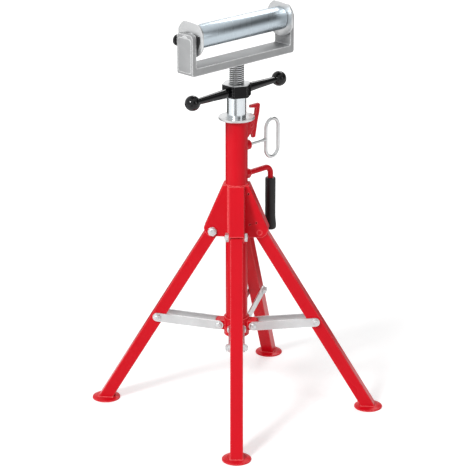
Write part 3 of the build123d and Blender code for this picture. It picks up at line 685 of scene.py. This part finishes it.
class STAND_OT_hook_cheeks(bpy.types.Operator):
    """Cuts the two welded cheeks that carry the hook"""

    bl_idname = "pipestand.hook_cheeks"
    bl_label = "Hook Cheeks"

    def execute(self, context):
        whole = bmesh.new()
        for side in (1, -1):
            part = bmesh.new()
            outline = [part.verts.new((rho, z, 0)) for rho, z in CHEEK]
            part.faces.new(outline)
            made = bmesh.ops.extrude_face_region(part, geom=part.faces[:])
            bmesh.ops.translate(part, vec=(0, 0, CHEEK_T),
                                verts=[v for v in made["geom"] if isinstance(v, bmesh.types.BMVert)])
            rims = [e for e in part.edges if abs(e.verts[0].co.z - e.verts[1].co.z) < 0.1]
            bmesh.ops.bevel(part, geom=rims, offset=0.5, offset_type="OFFSET", segments=2, profile=0.5,
                            affect="EDGES", material=-1)
            turned = Matrix((out(FIT_AZ), (0, 0, 1), out(FIT_AZ).cross(Vector((0, 0, 1))))).transposed().to_4x4()
            shift = CHEEK_IN if side > 0 else -CHEEK_IN - CHEEK_T
            join(whole, part, turned @ Matrix.Translation((0, 0, shift)))
            join(whole, spun(dome(4.2, 1.4)),
                 facing(at(FIT_AZ, HOOK_RHO, HOOK_Z, side * (CHEEK_IN + CHEEK_T)), across(FIT_AZ) * side))
        join(whole, spun(rod(2.5, 2 * (CHEEK_IN + CHEEK_T))),
             facing(at(FIT_AZ, HOOK_RHO, HOOK_Z, -CHEEK_IN - CHEEK_T), across(FIT_AZ)))
        piece(whole, "hook_cheeks", "stand", "red_paint", ["hook_lugs", "hook_pin"])
        return {"FINISHED"}


class STAND_OT_hand_arms(bpy.types.Operator):
    """Turns the tapered arms of the hand wheel"""

    bl_idname = "pipestand.hand_arms"
    bl_label = "Hand Arms"

    def execute(self, context):
        for tag, az in (("rear", HAND_AZ), ("front", HAND_AZ + 180)):
            whole = bmesh.new()
            profile = [(0, 0), (6.9, 0), (6.9, 2.6), (8.6, 2.7), (9.2, 3.4), (9.2, 9), (7.6, 45), (6.3, ARM_END),
                       (6.1, ARM_END + 8), (0, ARM_END + 8)]
            join(whole, spun(profile, 40), facing(at(az, ARM_ROOT, HAND_Z), out(az)))
            piece(whole, f"hand_arm_turned_{tag}", "hand_nut", "black_steel", [f"hand_arm_{tag}"], 50,
                  "black_plastic")
        return {"FINISHED"}


class STAND_OT_shade_washers(bpy.types.Operator):
    """Puts dark flat-topped washers between the guards and the frame, as painted shade for the shadowed gap there
    """

    bl_idname = "pipestand.spacers"
    bl_label = "Spacer Washers"

    def execute(self, context):
        for tag, side in (("rear", 1), ("front", -1)):
            az = HEAD_AZ if side > 0 else HEAD_AZ + 180
            whole = bmesh.new()
            join(whole, spun(washer(27.0, 10.2, 3.6), 48),
                 facing(at(az, GUARD_X + GUARD_T + 0.4, ROLL_Z), out(az)))
            bmesh.ops.bisect_plane(whole, geom=whole.verts[:] + whole.edges[:] + whole.faces[:],
                                   plane_co=(0, 0, ROLL_Z + 8), plane_no=(0, 0, 1), clear_outer=True)
            rim = [e for e in whole.edges if e.is_boundary]
            bmesh.ops.holes_fill(whole, edges=rim, sides=0)
            bmesh.ops.recalc_face_normals(whole, faces=whole.faces)
            # the black washer stands in for the shade in the gap between guard and frame: painted shade
            piece(whole, f"shade_washer_{tag}", "roller_head", "grip_rubber")
        return {"FINISHED"}


class STAND_OT_roller(bpy.types.Operator):
    """Turns the roller tube"""

    bl_idname = "pipestand.roller"
    bl_label = "Roller Tube"

    def execute(self, context):
        whole = bmesh.new()
        half, outer, inner = ROLL_HALF, ROLL_R, ROLL_R - 3.0
        profile = [(inner, -half), (outer - 1.2, -half), (outer - 0.3, -half + 0.4), (outer, -half + 1.2),
                   (outer, 0), (outer, half - 1.2), (outer - 0.3, half - 0.4), (outer - 1.2, half),
                   (inner, half), (inner, -half)]
        join(whole, spun(profile, 128), facing(Vector((0, 0, ROLL_Z)), out(HEAD_AZ)))
        piece(whole, "roller_turned", "roller", "roller_steel", ["roller_tube"])
        return {"FINISHED"}


class STAND_OT_grip(bpy.types.Operator):
    """Moulds the soft grip of the clamp handle"""

    bl_idname = "pipestand.grip"
    bl_label = "Handle Grip"

    def execute(self, context):
        r, low, high = GRIP_R, GRIP_Z0, GRIP_Z1
        profile = [(0, high - 8), (5.52, high - 8), (5.55, high - 0.5), (6.0, high), (9.0, high), (9.9, high - 0.5),
                   (10.4, high - 1.6), (r, high - 3), (r, high - 40), (r - 0.1, high - 60), (r, low + 28),
                   (r + 0.4, low + 21), (r + 1.2, low + 14), (r + 1.6, low + 9.5), (r + 1.6, low + 5.5),
                   (r + 1.1, low + 2.6), (r - 0.2, low + 0.8), (r - 2, low + 0.05), (0, low)]
        whole = bmesh.new()
        place = at(FIT_AZ, GRIP_RHO, 0)
        join(whole, spun(profile, 48), Matrix.Translation(place))
        piece(whole, "clamp_grip_moulded", "clamp_handle", "grip_rubber", ["clamp_grip"], 50)
        return {"FINISHED"}


class STAND_OT_welds(bpy.types.Operator):
    """Lays the weld beads on the post, the feet and the fittings"""

    bl_idname = "pipestand.welds"
    bl_label = "Welds"

    def execute(self, context):
        sizes = context.scene.stand_sizes
        radius, step = sizes.weld_radius / MM, sizes.weld_step / MM
        fixed = bmesh.new()
        bead(fixed, arc(0, 360, POST_R + 0.4, BRACKET_TOP, 60)[:-1], True, radius, step)
        for arm, az in ARMS.items():
            for side, half in ((-1, SECTOR[arm][0]), (1, SECTOR[arm][1])):
                edge = 44.8
                turn = az + side * min(half, edge)
                rho = POST_R + 0.3 if half > edge else EAR_OUT / sin(radians(half)) - 0.5
                bead(fixed, [at(turn, rho, BRACKET_LOW + 4), at(turn, rho, BRACKET_TOP - 2)], False,
                     0.8 * radius, step)
        bead(fixed, saddle(FIT_AZ, PIN_Z, BOSS_R), True, 0.8 * radius, step)
        bead(fixed, saddle(FIT_AZ, CLAMP_Z, NUT_R), True, 0.8 * radius, step)
        piece(fixed, "post_welds", "stand", "red_paint", sharp=60)
        for arm, az in ARMS.items():
            whole = bmesh.new()
            middle = HINGE_RHO + (HINGE_Z - FOOT_T) * tan(radians(LEAN))
            half_long, half = LEG_W / 2 / cos(radians(LEAN)), LEG_W / 2
            corners = [at(az, middle + a * half_long, FOOT_T, b * half)
                       for a, b in ((-1, -1), (1, -1), (1, 1), (-1, 1))]
            bead(whole, corners, True, radius, step)
            piece(whole, f"foot_weld_{arm}", f"{arm}_leg", "red_paint", sharp=60)
        return {"FINISHED"}


class STAND_OT_stage(bpy.types.Operator):
    """Sets up the floor, the lamps and the camera"""

    bl_idname = "pipestand.stage"
    bl_label = "Stage"

    def floor(self, scene):
        shape = bmesh.new()
        bmesh.ops.create_grid(shape, x_segments=1, y_segments=1, size=14.0)
        mesh = bpy.data.meshes.new("floor")
        shape.to_mesh(mesh)
        shape.free()
        ground = bpy.data.objects.new("floor", mesh)
        ground.location.z = -0.0002
        scene.collection.objects.link(ground)
        material = bpy.data.materials.new("pale_floor")
        material.use_nodes = True
        s = Shader(material.node_tree)
        nodes = material.node_tree.nodes
        nodes.remove(nodes["Principled BSDF"])
        seen = s.add("ShaderNodeLightPath").outputs
        direct = s.math("MAXIMUM", seen["Is Camera Ray"], s.math("MAXIMUM", seen["Is Glossy Ray"],
                                                                 seen["Is Transmission Ray"]))
        matt = s.add("ShaderNodeBsdfDiffuse", {"Color": (0.80, 0.80, 0.80, 1)}).outputs[0]
        place = s.add("ShaderNodeTexCoord").outputs["Object"]
        far = s.add("ShaderNodeVectorMath", {0: place}, operation="LENGTH").outputs["Value"]
        level = s.math("MULTIPLY", direct, s.remap(far, 0.5, 3.0, 0.42, 0.68))
        glow = s.add("ShaderNodeEmission", {"Color": (1, 1, 1, 1), "Strength": level})
        both = s.add("ShaderNodeAddShader", {0: matt, 1: glow.outputs[0]})
        s.feed(nodes["Material Output"].inputs["Surface"], both.outputs[0])
        mesh.materials.append(material)

    def reflected(self, scene, name, shape, strength):
        """Studio card that only reflections see, as bright as the socket or number given."""
        mesh = bpy.data.meshes.new(name)
        shape.to_mesh(mesh)
        shape.free()
        card = bpy.data.objects.new(name, mesh)
        scene.collection.objects.link(card)
        card.visible_camera = False
        card.visible_diffuse = False
        card.visible_shadow = False
        card.visible_transmission = False
        material = bpy.data.materials.new(name)
        material.use_nodes = True
        s = Shader(material.node_tree)
        nodes = material.node_tree.nodes
        nodes.remove(nodes["Principled BSDF"])
        level = strength(s) if callable(strength) else strength
        glow = s.add("ShaderNodeEmission", {"Color": (1, 1, 1, 1), "Strength": level})
        s.feed(nodes["Material Output"].inputs["Surface"], glow.outputs[0])
        mesh.materials.append(material)

    def card(self, scene, name, az_from, az_to, near, far, strength):
        """Card on the floor round the stand, for the dark lines in upright metal."""
        shape = spun([(near, 0.004), (far, 0.004)], 32, radians(az_to - az_from))
        shape.transform(Matrix.Rotation(radians(az_from - 90), 4, "Z"))
        self.reflected(scene, name, shape, strength)

    def band(self, scene):
        """Belt round the studio, darkest on the right a little above the stand, for the dark line of the roller."""

        def shade(s):
            place = s.add("ShaderNodeTexCoord").outputs["Object"]
            height = s.add("ShaderNodeSeparateXYZ", {0: place}).outputs["Z"]
            ramp = s.add("ShaderNodeValToRGB", {"Fac": s.remap(height, 0.0, 5.5, 0.0, 1.0)})
            stops = ramp.color_ramp.elements
            stops[0].position, stops[1].position = 0.0, 1.0
            for position, level in ((0.08, 0.75), (0.20, 0.25), (0.32, 0.05), (0.44, 0.10), (0.60, 0.50)):
                stops.new(position).color = (level, level, level, 1)
            stops[0].color = stops[-1].color = (1, 1, 1, 1)
            side = s.add("ShaderNodeSeparateXYZ", {0: place}).outputs["X"]
            return s.mix(s.remap(side, 0.3, 1.7, 0.0, 1.0), (1, 1, 1, 1), ramp.outputs["Color"])

        self.reflected(scene, "belt", spun([(3.4, 0.0), (3.4, 5.5)], 96), shade)

    def lamp(self, scene, name, place, aim, size, power):
        data = bpy.data.lights.new(name, "AREA")
        data.shape = "RECTANGLE"
        data.size, data.size_y = size
        data.energy = power
        lamp = bpy.data.objects.new(name, data)
        lamp.location = place
        lamp.rotation_euler = (Vector(aim) - Vector(place)).to_track_quat("-Z", "Y").to_euler()
        scene.collection.objects.link(lamp)

    def execute(self, context):
        scene = context.scene
        self.floor(scene)
        world = bpy.data.worlds.new("studio")
        scene.world = world
        world.use_nodes = True
        s = Shader(world.node_tree)
        seen = s.add("ShaderNodeLightPath").outputs
        direct = s.math("MAXIMUM", seen["Is Camera Ray"], s.math("MAXIMUM", seen["Is Glossy Ray"],
                                                                 seen["Is Transmission Ray"]))
        backdrop = world.node_tree.nodes["Background"]
        backdrop.inputs["Color"].default_value = (1, 1, 1, 1)
        s.feed(backdrop.inputs["Strength"], s.remap(direct, 0.0, 1.0, 0.42, 1.0))
        middle = (0, 0, 0.42)
        self.lamp(scene, "key", (-1.9, -2.4, 2.6), middle, (0.8, 0.8), 92)
        self.lamp(scene, "fill", (2.4, -1.6, 1.5), middle, (0.7, 1.4), 10)
        self.lamp(scene, "back", (0.8, 2.4, 2.6), middle, (1.4, 0.8), 26)
        self.card(scene, "card_rear", 124, 257, 1.2, 2.6, 0.04)
        self.card(scene, "card_front", -28, 4, 1.2, 2.6, 0.35)
        self.band(scene)
        camera = bpy.data.objects.new("camera", bpy.data.cameras.new("camera"))
        camera.data.sensor_width = 36.0
        camera.data.lens = 159.0
        camera.data.shift_x = -1.59 / 470
        camera.data.clip_end = 60
        camera.location = (0, -3.891, 1.767)
        camera.rotation_euler = (radians(90 - 19.84), 0, 0)
        scene.collection.objects.link(camera)
        scene.camera = camera
        scene.view_settings.view_transform = "Standard"
        return {"FINISHED"}


class STAND_PT_panel(bpy.types.Panel):
    """Lists the stand's sizes, colours and steps"""

    bl_idname = "STAND_PT_panel"
    bl_label = "Pipe Stand"
    bl_space_type = "VIEW_3D"
    bl_region_type = "UI"
    bl_category = "Pipe Stand"

    def draw(self, context):
        layout = self.layout
        for name in StandSizes.__annotations__:
            layout.prop(context.scene.stand_sizes, name)
        for name in StandColours.__annotations__:
            layout.prop(context.scene.stand_colours, name)
        for operator in OPERATORS:
            layout.operator(operator.bl_idname)


OPERATORS = (STAND_OT_finishes, STAND_OT_screw, STAND_OT_fasteners, STAND_OT_head_covers, STAND_OT_guards,
             STAND_OT_hook_cheeks, STAND_OT_hand_arms, STAND_OT_shade_washers, STAND_OT_roller, STAND_OT_grip, STAND_OT_welds, STAND_OT_stage)
CLASSES = (StandSizes, StandColours) + OPERATORS + (STAND_PT_panel,)


def register():
    for cls in CLASSES:
        bpy.utils.register_class(cls)
    bpy.types.Scene.stand_sizes = bpy.props.PointerProperty(type=StandSizes)
    bpy.types.Scene.stand_colours = bpy.props.PointerProperty(type=StandColours)


def unregister():
    del bpy.types.Scene.stand_colours
    del bpy.types.Scene.stand_sizes
    for cls in reversed(CLASSES):
        bpy.utils.unregister_class(cls)


def main():
    register()
    bpy.ops.pipestand.finishes()
    bpy.ops.pipestand.screw()
    bpy.ops.pipestand.fasteners()
    bpy.ops.pipestand.head_covers()
    bpy.ops.pipestand.guards()
    bpy.ops.pipestand.hook_cheeks()
    bpy.ops.pipestand.hand_arms()
    bpy.ops.pipestand.spacers()
    bpy.ops.pipestand.roller()
    bpy.ops.pipestand.grip()
    bpy.ops.pipestand.welds()
    bpy.ops.pipestand.stage()


if __name__ == "__main__":
    main()
